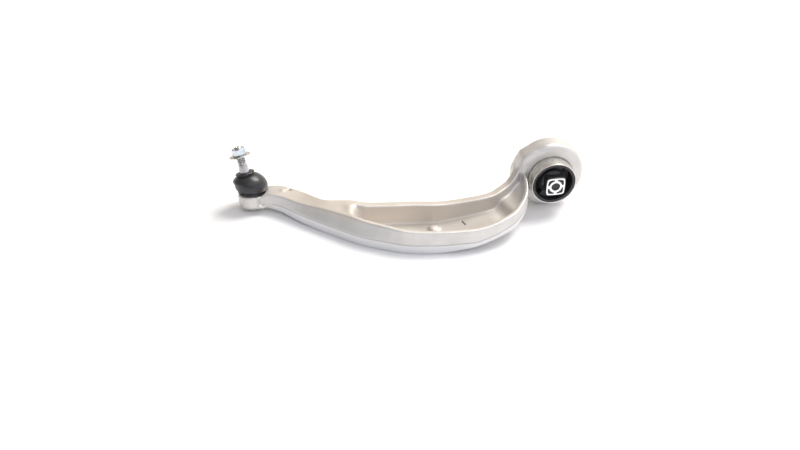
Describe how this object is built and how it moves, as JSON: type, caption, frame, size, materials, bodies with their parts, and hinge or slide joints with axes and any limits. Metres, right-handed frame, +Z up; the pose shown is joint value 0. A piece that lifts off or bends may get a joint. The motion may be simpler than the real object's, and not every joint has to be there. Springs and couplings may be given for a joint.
{
  "type": "control arm",
  "caption": "Curved forged aluminium front suspension control arm with a ball joint at one end and a rubber bush in an upright eye at the other.",
  "frame": {"origin": "centre of the bolt bore in the bush", "axes": "+Y along the bush bolt axis, away from the side the sleeve stands out of; +Z up as the arm lies; the ball joint is towards -X"},
  "size_m": [0.4862, 0.1859, 0.0965],
  "materials": {
    "forged_aluminium": "satin forged",
    "stud_steel": "turned",
    "race_plastic": "smooth",
    "cover_steel": "pressed, zinc coated",
    "boot_rubber": "satin",
    "ring_steel": "black coated wire",
    "nut_steel": "bright zinc",
    "washer_steel": "zinc",
    "sleeve_metal": "satin",
    "core_metal": "extruded, sawn ends",
    "bush_rubber": "matte",
    "cage_steel": "pressed"
  },
  "bodies": {
    "arm": {"control_arm": "forged_aluminium", "ball_race": "race_plastic", "closing_cover": "cover_steel", "boot_clamp_ring": "ring_steel", "bush_sleeve": "sleeve_metal", "bush_rubber": "bush_rubber", "rubber_cage": "cage_steel"},
    "boot": {"dust_boot": "boot_rubber"},
    "boot_collar": {"boot_lip_ring": "ring_steel"},
    "stud": {"ball_stud": "stud_steel"},
    "washer": {"nut_washer": "washer_steel"},
    "nut": {"stud_nut": "nut_steel"},
    "core": {"bush_core": "core_metal", "core_rubber": "bush_rubber"}
  },
  "joints": [
    {"name": "ball_tilt_first", "type": "hinge", "parent": "arm", "child": "boot", "pos_m": [-0.4125, 0.0557, -0.0291], "axis": [0.9853, 0.046, 0.1645], "range_deg": [-17, 19], "deforming": ["dust_boot"]},
    {"name": "ball_tilt_second", "type": "hinge", "parent": "boot", "child": "boot_collar", "pos_m": [-0.4125, 0.0557, -0.0291], "axis": [0, 0.963, -0.2696], "range_deg": [-11, 25], "deforming": ["dust_boot"]},
    {"name": "stud_spin", "type": "hinge", "parent": "boot_collar", "child": "stud", "pos_m": [-0.4125, 0.0557, -0.0291], "axis": [-0.1708, 0.2657, 0.9488], "continuous": true},
    {"name": "nut_travel", "type": "slide", "parent": "stud", "child": "washer", "axis": [-0.1708, 0.2657, 0.9488], "range_m": [-0.009, 0.012]},
    {"name": "nut_spin", "type": "hinge", "parent": "washer", "child": "nut", "pos_m": [-0.4125, 0.0557, -0.0291], "axis": [-0.1708, 0.2657, 0.9488], "range_deg": [-2160, 2880]},
    {"name": "bush_twist", "type": "hinge", "parent": "arm", "child": "core", "pos_m": [0, 0, 0], "axis": [0, 1, 0], "range_deg": [-15, 15], "stiffness_Nm_per_rad": 40}
  ],
  "couplings": [
    {"joint": "nut_travel", "follows": "nut_spin", "m_per_rad": 0.00023873}
  ]
}
